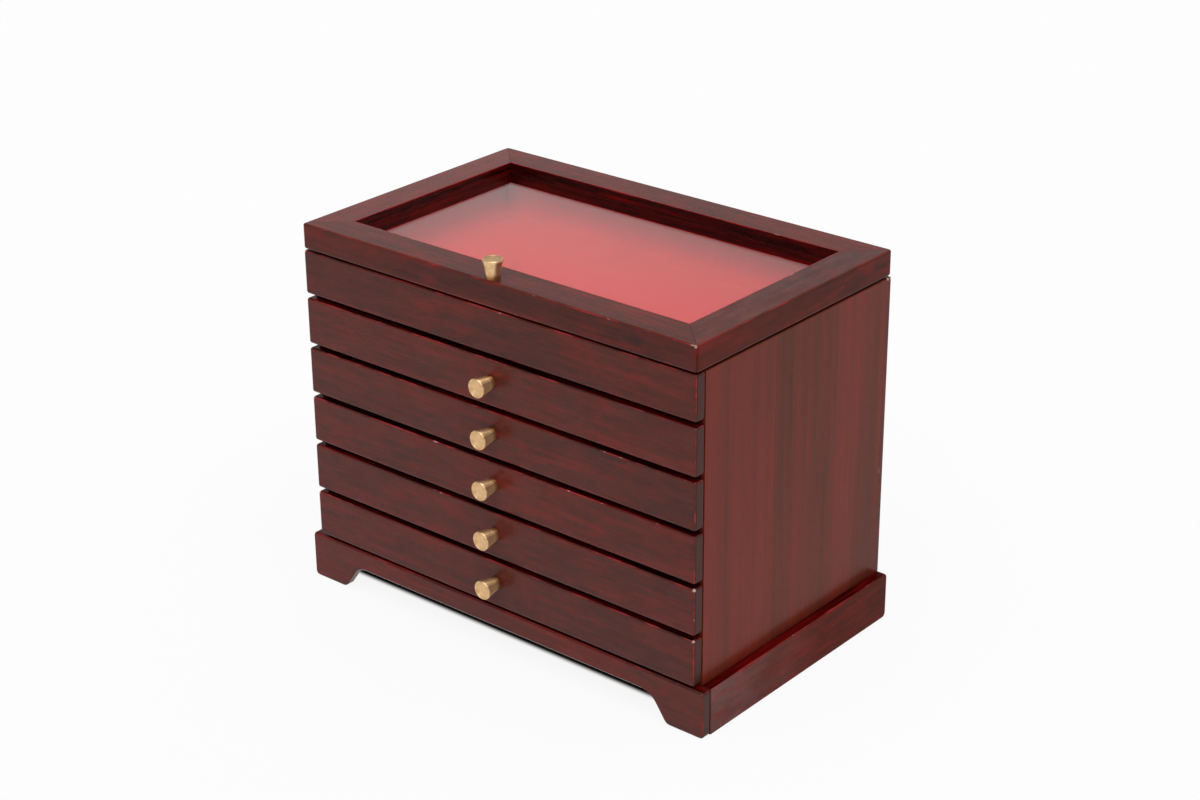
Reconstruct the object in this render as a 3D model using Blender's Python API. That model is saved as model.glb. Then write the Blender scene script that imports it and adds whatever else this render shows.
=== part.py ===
"""A table-top jewellery chest, made as a joiner makes one.

A case holds five drawers under a lined tray. The drawers run on their own bottoms, in grooves in
the case sides. A mitred, glazed lid closes the tray on two brass butt hinges, and a plinth with a
cut-out front carries it all.

Metres, +Z up. +X is to the right of someone who faces the drawers, and +Y is to the back. The origin
is on the floor, in the middle of the whole object.
"""

from math import asin, atan2, cos, pi, radians, sin, tan

import bmesh
import bpy
from mathutils import Matrix, Vector

# Case boards
CASE_WIDTH = 0.300
CASE_DEPTH = 0.185
CASE_HEIGHT = 0.2241
FRONT_THICK = 0.008
SIDE_THICK = 0.007
BACK_THICK = 0.004
SIDE_LIFT = 0.010
PANEL_THICK = 0.003
PANEL_TONGUE = 0.003
CASE_BOTTOM_DROP = 0.0035

# Plinth
PLINTH_THICK = 0.007
PLINTH_HEIGHT = 0.0304
PLINTH_CORNER_RADIUS = 0.003
PLINTH_END_RADIUS = 0.002
ARCH_HALF_SPAN = 0.130
ARCH_HEIGHT = 0.0172
ARCH_SLOPE = radians(55)
ARCH_SHOULDER_RADIUS = 0.014
FOOT_CORNER_RADIUS = 0.005

# Drawers
DRAWER_COUNT = 5
DRAWER_GAP = 0.0030
PLINTH_GAP = 0.0016
BOX_SIDE_THICK = 0.005
BOX_TOP_DROP = 0.0027
BOX_BACK_THICK = 0.005
BOX_REAR_GAP = 0.006
DRAWER_BOTTOM_THICK = 0.003
RUNNER_RAISE = 0.003
RUNNER_REACH = 0.0027
BOTTOM_TONGUE = 0.003

# Tray
TRAY_FRONT_HEIGHT = 0.0281
TRAY_FLOOR_RAISE = 0.005
TRAY_BACK_THICK = 0.007
LINING_THICK = 0.0012

# Lid
LID_THICK = 0.016
LID_SEAM = 0.0010
LID_CORNER_RADIUS = 0.002
LID_EDGE_RADIUS = 0.0012
RAIL_WIDTH = 0.0222
GLASS_DROP = 0.0069
GLASS_THICK = 0.002
REBATE_WIDTH = 0.0045
BEAD_RAISE = 0.0005
BEAD_RADIUS = 0.0015

# Hinges
HINGE_END_DISTANCE = 0.055
LEAF_LENGTH = 0.018
LEAF_WIDTH = 0.0085
LEAF_THICK = 0.0009
PIN_RADIUS = 0.0010
PIN_HEAD_RADIUS = 0.0015
PIN_HEAD_THICK = 0.0005
HINGE_STANDOFF = 0.0003
KNUCKLE_GAP = 0.0003

# Knobs
KNOB_LENGTH = 0.0118
KNOB_HEAD_RADIUS = 0.0060
KNOB_NECK_RADIUS = 0.0041
KNOB_RIM = 0.0012
KNOB_DISH = 0.0003
KNOB_FLARE = 1.7
KNOB_RAISE = 0.0004
STUD_RADIUS = 0.0020
STUD_LENGTH = 0.0065
LID_KNOB_INSET = 0.0055

# Rounded edges and clearances
EDGE_RADIUS = 0.0010
FRONT_EDGE_RADIUS = 0.0015
SMALL_CHAMFER = 0.0004
GLUE_GAP = 0.0001
PIN_GAP = 0.00006
STUD_GAP = 0.00015
CLOSE_GAP = 0.0003
RUN_GAP = 0.0003
BOX_GAP = 0.0008
CUT_MARGIN = 0.001

# Facets, and the bevel profile that is part of a circle
ROUND_PROFILE = 0.5
EDGE_STEPS = 2
FRONT_EDGE_STEPS = 3
CORNER_STEPS = 5
SHOULDER_STEPS = 8
KNUCKLE_STEPS = 14
BEAD_STEPS = 4
KNOB_FLARE_STEPS = 6
KNOB_SIDES = 20
PIN_SIDES = 14

# Places that follow from the sizes
KNOB_REACH = KNOB_LENGTH + GLUE_GAP
KNUCKLE_RADIUS = PIN_RADIUS + PIN_GAP + LEAF_THICK
HINGE_PROUD = HINGE_STANDOFF + 2 * KNUCKLE_RADIUS
FRONT_Y = KNOB_REACH - (KNOB_REACH + CASE_DEPTH + HINGE_PROUD) / 2
BACK_Y = FRONT_Y + CASE_DEPTH
MIDDLE_Y = (FRONT_Y + BACK_Y) / 2
BEHIND_FRONTS_Y = FRONT_Y + FRONT_THICK
BEHIND_PLINTH_Y = FRONT_Y + PLINTH_THICK + GLUE_GAP
INSIDE_FRONT_Y = BEHIND_FRONTS_Y + CLOSE_GAP
INSIDE_BACK_Y = BACK_Y - BACK_THICK - GLUE_GAP
HALF_CASE = CASE_WIDTH / 2
HALF_INSIDE = HALF_CASE - SIDE_THICK
HALF_PANEL = HALF_INSIDE + PANEL_TONGUE
HALF_PLINTH = HALF_CASE + PLINTH_THICK
HINGE_X = HALF_CASE - HINGE_END_DISTANCE
HALF_GLASS_X = HALF_CASE - RAIL_WIDTH + REBATE_WIDTH - GLUE_GAP
HALF_GLASS_Y = CASE_DEPTH / 2 - RAIL_WIDTH + REBATE_WIDTH - GLUE_GAP
CASE_BOTTOM_Z = PLINTH_HEIGHT - CASE_BOTTOM_DROP - PANEL_THICK
RIM_Z = CASE_HEIGHT
TRAY_FRONT_Z = RIM_Z - TRAY_FRONT_HEIGHT
TRAY_FLOOR_Z = TRAY_FRONT_Z + TRAY_FLOOR_RAISE
TRAY_FLOOR_TOP_Z = TRAY_FLOOR_Z + PANEL_THICK
FIRST_DRAWER_Z = PLINTH_HEIGHT + PLINTH_GAP
DRAWER_PITCH = (TRAY_FRONT_Z - FIRST_DRAWER_Z) / DRAWER_COUNT
DRAWER_FRONT_HEIGHT = DRAWER_PITCH - DRAWER_GAP
LID_Z = RIM_Z + LID_SEAM
LID_TOP_Z = LID_Z + LID_THICK
GLASS_Z = LID_TOP_Z - GLASS_DROP - GLUE_GAP - GLASS_THICK
BEAD_Z = LID_Z + BEAD_RAISE
BEAD_HEIGHT = GLASS_Z - GLUE_GAP - BEAD_Z
BEAD_WIDTH = REBATE_WIDTH - GLUE_GAP
HINGE_Y = BACK_Y + HINGE_STANDOFF + KNUCKLE_RADIUS
HINGE_Z = (RIM_Z + LID_Z) / 2


# Finishes, as linear colours
def finish(name, colour, roughness, metallic=0.0, transmission=0.0):
    material = bpy.data.materials.new(name)
    material.use_nodes = True
    shader = material.node_tree.nodes["Principled BSDF"]
    shader.inputs["Base Color"].default_value = (*colour, 1.0)
    shader.inputs["Roughness"].default_value = roughness
    shader.inputs["Metallic"].default_value = metallic
    shader.inputs["Transmission Weight"].default_value = transmission
    return material


def finishes():
    return {
        "mahogany": finish("mahogany", (0.115, 0.036, 0.030), 0.32),
        "drawer_wood": finish("drawer_wood", (0.240, 0.110, 0.065), 0.55),
        "brass": finish("brass", (0.690, 0.470, 0.240), 0.28, metallic=1.0),
        "glass": finish("glass", (0.950, 0.970, 0.960), 0.05, transmission=1.0),
        "felt": finish("felt", (0.560, 0.060, 0.062), 0.95),
    }


# Objects
def clear_scene():
    for old in list(bpy.data.objects):
        bpy.data.objects.remove(old, do_unlink=True)


def add_empty(name, location):
    """A plain axes marker, which carries the pieces that move together."""
    empty = bpy.data.objects.new(name, None)
    empty.location = location
    bpy.context.scene.collection.objects.link(empty)
    return empty


def add_object(name, shape, location, material=None, parent=None):
    """Makes a named object of a bmesh. location is where it stands at rest, in the chest's frame."""
    bmesh.ops.recalc_face_normals(shape, faces=shape.faces)
    mesh = bpy.data.meshes.new(name)
    shape.to_mesh(mesh)
    shape.free()
    piece = bpy.data.objects.new(name, mesh)
    bpy.context.scene.collection.objects.link(piece)
    piece.location = location
    if parent:
        piece.parent = parent
        piece.location -= parent.location
    if material:
        mesh.materials.append(material)
    return piece


def add_cutter(name, shape, location):
    """A helper that is cut with and isn't part of the chest."""
    cutter = add_object(name, shape, location)
    cutter.hide_render = True
    cutter.display_type = "WIRE"
    return cutter


def carve(piece, cutter, operation="DIFFERENCE"):
    modifier = piece.modifiers.new(cutter.name, "BOOLEAN")
    modifier.operation = operation
    modifier.object = cutter


def round_edges(piece, radius, steps=EDGE_STEPS, sharper_than=radians(50)):
    modifier = piece.modifiers.new("rounded_edges", "BEVEL")
    modifier.width = radius
    modifier.segments = steps
    modifier.limit_method = "ANGLE"
    modifier.angle_limit = sharper_than


# Shapes
def box(low, high):
    """A bmesh box round its own middle, and the place of that middle."""
    low, high = Vector(low), Vector(high)
    shape = bmesh.new()
    bmesh.ops.create_cube(shape, size=1.0, matrix=Matrix.Diagonal((*(high - low), 1.0)))
    return shape, (low + high) / 2


def board(name, low, high, material, parent=None, radius=EDGE_RADIUS, steps=EDGE_STEPS):
    shape, middle = box(low, high)
    piece = add_object(name, shape, middle, material, parent)
    round_edges(piece, radius, steps)
    return piece


def rounded(corners):
    """An outline from corners of (first, second, radius, steps): an arc takes each corner's place."""
    outline = []
    for i, (first, second, radius, steps) in enumerate(corners):
        corner = Vector((first, second))
        if not radius:
            outline.append(corner)
            continue
        back = (Vector(corners[i - 1][:2]) - corner).normalized()
        ahead = (Vector(corners[(i + 1) % len(corners)][:2]) - corner).normalized()
        half_angle = back.angle(ahead) / 2
        centre = corner + (back + ahead).normalized() * radius / sin(half_angle)
        start = corner + back * radius / tan(half_angle) - centre
        end = corner + ahead * radius / tan(half_angle) - centre
        start_angle = atan2(start.y, start.x)
        turn = (atan2(end.y, end.x) - start_angle + pi) % (2 * pi) - pi
        for step in range(steps + 1):
            angle = start_angle + turn * step / steps
            outline.append(centre + radius * Vector((cos(angle), sin(angle))))
    return outline


def loft(rings):
    """A bmesh solid between two rings of points, flat at both ends."""
    shape = bmesh.new()
    first, last = [[shape.verts.new(point) for point in ring] for ring in rings]
    shape.faces.new(first)
    shape.faces.new(last)
    for i in range(len(first)):
        shape.faces.new((first[i - 1], first[i], last[i], last[i - 1]))
    return shape


def prism(outline, low, high, along):
    """A bmesh: an outline in the two axes other than along, drawn out from low to high."""
    index = "xyz".index(along)
    rings = []
    for level in (low, high):
        rings.append([(*point[:index], level, *point[index:]) for point in map(tuple, outline)])
    return loft(rings)


def turned(name, profile, sides, location, rotation, material, parent=None):
    """A solid turned about its own Z axis. profile runs from the axis on top to the axis below."""
    shape = bmesh.new()
    points = [shape.verts.new((radius, 0, height)) for radius, height in profile]
    for upper, lower in zip(points, points[1:]):
        shape.edges.new((upper, lower))
    piece = add_object(name, shape, location, material, parent)
    piece.rotation_euler = rotation
    modifier = piece.modifiers.new("turning", "SCREW")
    modifier.steps = sides
    modifier.render_steps = sides
    modifier.use_merge_vertices = True
    modifier.merge_threshold = 1e-6
    modifier.use_smooth_shade = True
    return piece


# Plinth
def make_plinth(finish_of):
    make_plinth_front(finish_of["mahogany"])
    for name, side in (("left", -1), ("right", 1)):
        make_plinth_side(f"plinth_side_{name}", side, finish_of["mahogany"])


def make_plinth_front(material):
    """The board across the front, cut out from below between two feet."""
    shoulder = ARCH_HALF_SPAN - ARCH_HEIGHT / tan(ARCH_SLOPE)
    left = [
        (-HALF_PLINTH, PLINTH_HEIGHT, PLINTH_END_RADIUS, CORNER_STEPS),
        (-HALF_PLINTH, 0, PLINTH_CORNER_RADIUS, CORNER_STEPS),
        (-ARCH_HALF_SPAN, 0, FOOT_CORNER_RADIUS, CORNER_STEPS),
        (-shoulder, ARCH_HEIGHT, ARCH_SHOULDER_RADIUS, SHOULDER_STEPS),
    ]
    right = [(-x, z, radius, steps) for x, z, radius, steps in reversed(left)]
    shape = prism(rounded(left + right), -PLINTH_THICK / 2, PLINTH_THICK / 2, "y")
    front = add_object("plinth_front", shape, (0, FRONT_Y + PLINTH_THICK / 2, 0), material)
    round_edges(front, EDGE_RADIUS, 1)


def make_plinth_side(name, side, material):
    """A board along the outside of the case, rounded at its back corners."""
    corners = [
        (BEHIND_PLINTH_Y, 0, 0, 0),
        (BACK_Y, 0, PLINTH_CORNER_RADIUS, CORNER_STEPS),
        (BACK_Y, PLINTH_HEIGHT, PLINTH_CORNER_RADIUS, CORNER_STEPS),
        (BEHIND_PLINTH_Y, PLINTH_HEIGHT, 0, 0),
    ]
    thickness = PLINTH_THICK - GLUE_GAP
    shape = prism(rounded(corners), -thickness / 2, thickness / 2, "x")
    middle = side * (HALF_CASE + GLUE_GAP + thickness / 2)
    piece = add_object(name, shape, (middle, 0, 0), material)
    round_edges(piece, EDGE_RADIUS)


# Case
def drawer_front_z(number):
    """The lower edge of a drawer's front. Drawer 1 is the top one."""
    return FIRST_DRAWER_Z + (DRAWER_COUNT - number) * DRAWER_PITCH


def side_grooves():
    """(bottom, top, depth) of each groove in a case side, from the lowest up."""
    panel_depth = PANEL_TONGUE + GLUE_GAP
    grooves = [(CASE_BOTTOM_Z - GLUE_GAP, CASE_BOTTOM_Z + PANEL_THICK + GLUE_GAP, panel_depth)]
    for number in range(DRAWER_COUNT, 0, -1):
        runner = drawer_front_z(number) + RUNNER_RAISE
        grooves.append((runner - RUN_GAP, runner + DRAWER_BOTTOM_THICK + RUN_GAP, RUNNER_REACH + RUN_GAP))
    grooves.append((TRAY_FLOOR_Z - GLUE_GAP, TRAY_FLOOR_TOP_Z + GLUE_GAP, panel_depth))
    return grooves


def make_case_side(name, side, material):
    """A side's section, with its grooves, drawn out from the fronts to the back panel."""
    corners = [(HALF_INSIDE, SIDE_LIFT, 0, 0)]
    for bottom, top, depth in side_grooves():
        corners.append((HALF_INSIDE, bottom, 0, 0))
        corners.append((HALF_INSIDE + depth, bottom, 0, 0))
        corners.append((HALF_INSIDE + depth, top, 0, 0))
        corners.append((HALF_INSIDE, top, 0, 0))
    corners.append((HALF_INSIDE, RIM_Z, SMALL_CHAMFER, 1))
    corners.append((HALF_CASE, RIM_Z, EDGE_RADIUS, EDGE_STEPS))
    corners.append((HALF_CASE, SIDE_LIFT, 0, 0))
    outline = [(side * (x - HALF_CASE), z) for x, z in rounded(corners)]
    add_object(name, prism(outline, INSIDE_FRONT_Y, INSIDE_BACK_Y, "y"), (side * HALF_CASE, 0, 0), material)


def make_case(finish_of):
    wood = finish_of["mahogany"]
    for name, side in (("left", -1), ("right", 1)):
        make_case_side(f"case_side_{name}", side, wood)
    back = board(
        "case_back_panel",
        (-HALF_CASE, BACK_Y - BACK_THICK, SIDE_LIFT),
        (HALF_CASE, BACK_Y, RIM_Z),
        wood,
        radius=SMALL_CHAMFER,
    )
    for name, front, bottom in (
        ("case_bottom_panel", BEHIND_PLINTH_Y, CASE_BOTTOM_Z),
        ("tray_floor_panel", BEHIND_FRONTS_Y + GLUE_GAP, TRAY_FLOOR_Z),
    ):
        board(
            name,
            (-HALF_PANEL, front, bottom),
            (HALF_PANEL, INSIDE_BACK_Y, bottom + PANEL_THICK),
            finish_of["drawer_wood"],
            radius=SMALL_CHAMFER,
            steps=1,
        )
    return back


def make_tray(finish_of):
    wood = finish_of["mahogany"]
    board(
        "tray_front_board",
        (-HALF_CASE, FRONT_Y, TRAY_FRONT_Z),
        (HALF_CASE, BEHIND_FRONTS_Y, RIM_Z),
        wood,
        radius=FRONT_EDGE_RADIUS,
        steps=FRONT_EDGE_STEPS,
    )
    tray_back_y = INSIDE_BACK_Y - TRAY_BACK_THICK
    back = board(
        "tray_back_board",
        (-HALF_INSIDE + GLUE_GAP, tray_back_y, TRAY_FLOOR_TOP_Z + GLUE_GAP),
        (HALF_INSIDE - GLUE_GAP, INSIDE_BACK_Y, RIM_Z),
        wood,
        radius=SMALL_CHAMFER,
        steps=1,
    )
    lining_z = TRAY_FLOOR_TOP_Z + CLOSE_GAP
    board(
        "tray_lining",
        (-HALF_INSIDE + CLOSE_GAP, INSIDE_FRONT_Y, lining_z),
        (HALF_INSIDE - CLOSE_GAP, tray_back_y - CLOSE_GAP, lining_z + LINING_THICK),
        finish_of["felt"],
        radius=SMALL_CHAMFER,
        steps=1,
    )
    return back


# Knobs
def knob_profile():
    """(radius, height) pairs: a dished face, a rounded rim, a flare down to the neck, and the stud."""
    half_rim = KNOB_RIM / 2
    profile = [
        (0, KNOB_LENGTH - KNOB_DISH),
        (KNOB_HEAD_RADIUS - KNOB_RIM, KNOB_LENGTH - KNOB_DISH),
        (KNOB_HEAD_RADIUS - half_rim, KNOB_LENGTH),
        (KNOB_HEAD_RADIUS, KNOB_LENGTH - half_rim),
    ]
    for step in range(KNOB_FLARE_STEPS + 1):
        up = 1 - step / KNOB_FLARE_STEPS
        radius = KNOB_NECK_RADIUS + (KNOB_HEAD_RADIUS - KNOB_NECK_RADIUS) * up**KNOB_FLARE
        profile.append((radius, (KNOB_LENGTH - KNOB_RIM) * up))
    profile += [(STUD_RADIUS, 0), (STUD_RADIUS, -STUD_LENGTH), (0, -STUD_LENGTH)]
    return profile


def make_knob(name, carrier, seat, outward, depth, material, parent):
    """A turned knob on its seat, and the hole for its stud. outward turns +Z to where the knob points."""
    turn = outward.to_matrix()
    place = Vector(seat) + turn @ Vector((0, 0, GLUE_GAP))
    turned(name, knob_profile(), KNOB_SIDES, place, outward, material, parent)
    shape = bmesh.new()
    length = depth + CUT_MARGIN
    bmesh.ops.create_cone(
        shape,
        cap_ends=True,
        segments=KNOB_SIDES,
        radius1=STUD_RADIUS + STUD_GAP,
        radius2=STUD_RADIUS + STUD_GAP,
        depth=length,
    )
    hole = add_cutter(f"{name}_hole", shape, Vector(seat) + turn @ Vector((0, 0, CUT_MARGIN - length / 2)))
    hole.rotation_euler = outward
    carve(carrier, hole)


# Drawers
def make_drawer(number, finish_of):
    """One drawer: a front that laps the case, and a box whose bottom runs in the sides' grooves."""
    wood = finish_of["mahogany"]
    plain = finish_of["drawer_wood"]
    name = f"drawer_{number}"
    floor_z = drawer_front_z(number)
    slide = add_empty(f"{name}_slide", (0, FRONT_Y, floor_z))
    half_bottom = HALF_INSIDE + RUNNER_REACH
    half_box = HALF_INSIDE - BOX_GAP
    bottom_z = floor_z + RUNNER_RAISE
    bottom_top_z = bottom_z + DRAWER_BOTTOM_THICK
    box_low_z = bottom_top_z + GLUE_GAP
    front_top_z = floor_z + DRAWER_FRONT_HEIGHT
    box_high_z = front_top_z - BOX_TOP_DROP
    box_front_y = BEHIND_FRONTS_Y + GLUE_GAP
    box_back_y = INSIDE_BACK_Y - BOX_REAR_GAP
    front = board(
        f"{name}_front",
        (-HALF_CASE, FRONT_Y, floor_z),
        (HALF_CASE, BEHIND_FRONTS_Y, front_top_z),
        wood,
        slide,
        radius=FRONT_EDGE_RADIUS,
        steps=FRONT_EDGE_STEPS,
    )
    groove, middle = box(
        (-half_bottom - GLUE_GAP, BEHIND_FRONTS_Y - BOTTOM_TONGUE - GLUE_GAP, bottom_z - GLUE_GAP),
        (half_bottom + GLUE_GAP, BEHIND_FRONTS_Y + CUT_MARGIN, bottom_top_z + GLUE_GAP),
    )
    carve(front, add_cutter(f"{name}_front_groove", groove, middle))
    board(
        f"{name}_bottom",
        (-half_bottom, BEHIND_FRONTS_Y - BOTTOM_TONGUE, bottom_z),
        (half_bottom, box_back_y, bottom_top_z),
        plain,
        slide,
        radius=SMALL_CHAMFER,
        steps=1,
    )
    for side_name, side in (("left", -1), ("right", 1)):
        ends = sorted((side * half_box, side * (half_box - BOX_SIDE_THICK)))
        board(
            f"{name}_side_{side_name}",
            (ends[0], box_front_y, box_low_z),
            (ends[1], box_back_y, box_high_z),
            plain,
            slide,
            radius=SMALL_CHAMFER,
            steps=1,
        )
    half_back = half_box - BOX_SIDE_THICK - GLUE_GAP
    board(
        f"{name}_back",
        (-half_back, box_back_y - BOX_BACK_THICK, box_low_z),
        (half_back, box_back_y, box_high_z),
        plain,
        slide,
        radius=SMALL_CHAMFER,
        steps=1,
    )
    knob_seat = Vector((0, FRONT_Y, (floor_z + front_top_z) / 2 + KNOB_RAISE))
    forwards = Matrix.Rotation(pi / 2, 3, "X").to_euler()
    make_knob(f"{name}_knob", front, knob_seat, forwards, FRONT_THICK + CUT_MARGIN, finish_of["brass"], slide)


# Lid
def lid_envelope():
    """The lid's outside, with rounded corners and edges, which trims the four rails."""
    half_depth = CASE_DEPTH / 2
    shape, middle = box((-HALF_CASE, -half_depth, 0), (HALF_CASE, half_depth, LID_THICK))
    upright = [edge for edge in shape.edges if edge.verts[0].co.xy == edge.verts[1].co.xy]
    bmesh.ops.bevel(
        shape,
        geom=upright,
        offset=LID_CORNER_RADIUS,
        offset_type="OFFSET",
        segments=CORNER_STEPS,
        profile=ROUND_PROFILE,
        affect="EDGES",
    )
    flat = [edge for edge in shape.edges if edge.verts[0].co.z == edge.verts[1].co.z]
    bmesh.ops.bevel(
        shape,
        geom=flat,
        offset=LID_EDGE_RADIUS,
        offset_type="OFFSET",
        segments=EDGE_STEPS,
        profile=ROUND_PROFILE,
        affect="EDGES",
    )
    return add_cutter("lid_envelope", shape, middle + Vector((0, MIDDLE_Y, LID_Z)))


def mitred_piece(name, profile, half_x, half_y, place, base_z, material, parent):
    """One of four mitred lengths round a frame of half_x by half_y. profile holds (inset, height) pairs."""
    rings = []
    for end in (-1, 1):
        ring = []
        for inset, height in profile:
            across_x = half_x - inset
            across_y = half_y - inset
            ends = {
                "front": (end * (across_x - GLUE_GAP), -across_y),
                "back": (end * (across_x - GLUE_GAP), across_y),
                "left": (-across_x, end * (across_y - GLUE_GAP)),
                "right": (across_x, end * (across_y - GLUE_GAP)),
            }
            ring.append((*ends[place], height))
        rings.append(ring)
    return add_object(name, loft(rings), (0, MIDDLE_Y, base_z), material, parent)


def rail_profile():
    """A rail's section: square outside, which the envelope rounds, rebated below for the glass and its bead."""
    rebate = RAIL_WIDTH - REBATE_WIDTH
    shelf = LID_THICK - GLASS_DROP
    top = LID_THICK + CUT_MARGIN
    return [
        (-CUT_MARGIN, -CUT_MARGIN),
        (rebate, -CUT_MARGIN),
        (rebate, shelf),
        (RAIL_WIDTH, shelf),
        (RAIL_WIDTH, top),
        (-CUT_MARGIN, top),
    ]


def bead_profile():
    """A glazing bead's section: flat under the glass and on the rail, its lower inner edge rounded."""
    profile = [(0, BEAD_HEIGHT), (0, 0)]
    for step in range(BEAD_STEPS + 1):
        turn = pi / 2 * step / BEAD_STEPS
        inset = BEAD_WIDTH - BEAD_RADIUS * (1 - sin(turn))
        profile.append((inset, BEAD_RADIUS * (1 - cos(turn))))
    profile.append((BEAD_WIDTH, BEAD_HEIGHT))
    return profile


def make_lid(finish_of, pivot):
    """The mitred frame, its glass and beads, and its knob. The rails go back by name."""
    wood = finish_of["mahogany"]
    envelope = lid_envelope()
    rails = {}
    for place in ("front", "back", "left", "right"):
        rail = mitred_piece(
            f"lid_rail_{place}", rail_profile(), HALF_CASE, CASE_DEPTH / 2, place, LID_Z, wood, pivot
        )
        carve(rail, envelope, "INTERSECT")
        rails[place] = rail
        mitred_piece(
            f"glazing_bead_{place}",
            bead_profile(),
            HALF_GLASS_X,
            HALF_GLASS_Y,
            place,
            BEAD_Z,
            wood,
            pivot,
        )
    board(
        "lid_glass",
        (-HALF_GLASS_X, MIDDLE_Y - HALF_GLASS_Y, GLASS_Z),
        (HALF_GLASS_X, MIDDLE_Y + HALF_GLASS_Y, GLASS_Z + GLASS_THICK),
        finish_of["glass"],
        pivot,
        radius=SMALL_CHAMFER,
        steps=1,
    )
    seat = Vector((0, FRONT_Y + LID_KNOB_INSET, LID_TOP_Z))
    upwards = Matrix.Identity(3).to_euler()
    make_knob("lid_knob", rails["front"], seat, upwards, STUD_LENGTH + GLUE_GAP, finish_of["brass"], pivot)
    return rails


# Hinges
def leaf_outline(side):
    """A leaf's section round its pin: a flat plate, rolled up at its end. side is 1 for the lid's leaf."""
    bore = PIN_RADIUS + PIN_GAP
    face = LID_SEAM / 2
    back = face + LEAF_THICK
    plate_end = KNUCKLE_RADIUS + HINGE_STANDOFF + LEAF_WIDTH
    outer_start = pi + asin(min(1, back / KNUCKLE_RADIUS))
    inner_start = pi + asin(min(1, face / bore))
    roll_end = 3 * pi
    points = [(-plate_end, -face), (-plate_end, -back)]
    for step in range(KNUCKLE_STEPS + 1):
        angle = outer_start + (roll_end - outer_start) * step / KNUCKLE_STEPS
        points.append((KNUCKLE_RADIUS * cos(angle), KNUCKLE_RADIUS * sin(angle)))
    for step in range(KNUCKLE_STEPS + 1):
        angle = roll_end + (inner_start - roll_end) * step / KNUCKLE_STEPS
        points.append((bore * cos(angle), bore * sin(angle)))
    return [(y, -side * z) for y, z in points]


def knuckle_cutter(name, start, end, place):
    """Takes the roll away between two points along the pin, for the other leaf's knuckle."""
    reach = KNUCKLE_RADIUS + HINGE_STANDOFF
    shape, middle = box((start, -reach, -reach), (end, reach, reach))
    return add_cutter(name, shape, middle + Vector(place))


def make_hinge(name, x, finish_of, pivot, backs, lid_rail):
    """Two rolled leaves on a headed pin, let into the case's back boards and the lid's back rail."""
    place = Vector((x, HINGE_Y, HINGE_Z))
    half_leaf = LEAF_LENGTH / 2
    half_knuckle = LEAF_LENGTH / 6
    inner = half_knuckle + KNUCKLE_GAP / 2
    outer = half_knuckle - KNUCKLE_GAP / 2
    past_end = half_leaf + CUT_MARGIN
    for leaf, side, parent, cuts in (
        ("case_leaf", -1, None, ((-inner, inner),)),
        ("lid_leaf", 1, pivot, ((-past_end, -outer), (outer, past_end))),
    ):
        shape = prism(leaf_outline(side), -half_leaf, half_leaf, "x")
        piece = add_object(f"{name}_{leaf}", shape, place, finish_of["brass"], parent)
        for number, (start, end) in enumerate(cuts, 1):
            carve(piece, knuckle_cutter(f"{name}_{leaf}_cut_{number}", start, end, place))
    head_end = half_leaf + GLUE_GAP + PIN_HEAD_THICK
    head_start = half_leaf + GLUE_GAP
    half_profile = [
        (0, head_end),
        (PIN_HEAD_RADIUS - PIN_HEAD_THICK / 2, head_end),
        (PIN_HEAD_RADIUS, head_end - PIN_HEAD_THICK / 2),
        (PIN_HEAD_RADIUS, head_start),
        (PIN_RADIUS, head_start),
    ]
    profile = half_profile + [(radius, -height) for radius, height in reversed(half_profile)]
    along_x = Matrix.Rotation(pi / 2, 3, "Y").to_euler()
    turned(f"{name}_pin", profile, PIN_SIDES, place, along_x, finish_of["brass"])
    mortise, middle = box(
        (x - half_leaf - GLUE_GAP, BACK_Y - LEAF_WIDTH - GLUE_GAP, RIM_Z - LEAF_THICK - GLUE_GAP),
        (x + half_leaf + GLUE_GAP, BACK_Y + CUT_MARGIN, LID_Z + LEAF_THICK + GLUE_GAP),
    )
    cutter = add_cutter(f"{name}_mortise", mortise, middle)
    for piece in (*backs, lid_rail):
        carve(piece, cutter)


def main():
    clear_scene()
    finish_of = finishes()
    make_plinth(finish_of)
    case_back = make_case(finish_of)
    tray_back = make_tray(finish_of)
    for number in range(1, DRAWER_COUNT + 1):
        make_drawer(number, finish_of)
    pivot = add_empty("lid_pivot", (0, HINGE_Y, HINGE_Z))
    rails = make_lid(finish_of, pivot)
    for name, side in (("hinge_left", -1), ("hinge_right", 1)):
        make_hinge(name, side * HINGE_X, finish_of, pivot, (case_back, tray_back), rails["back"])


main()
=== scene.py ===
# %% [markdown]
# # A table-top jewellery chest
# The chest is a small case of stained mahogany: five shallow drawers, a felt-lined tray and a hinged lid
# with a pane of glass. Its boards, hinges and glass come in as ready solids, each riding on the body that
# moves it. This lesson adds what the solids lack: finishes, turned knobs, felt, screws, light and a camera.
# The size of the solids is kept from the start, because nothing added may grow the chest.

# %% Load the solids
from math import cos, pi, radians, sin
import bmesh
import bpy
from mathutils import Matrix, Vector, noise


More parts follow.
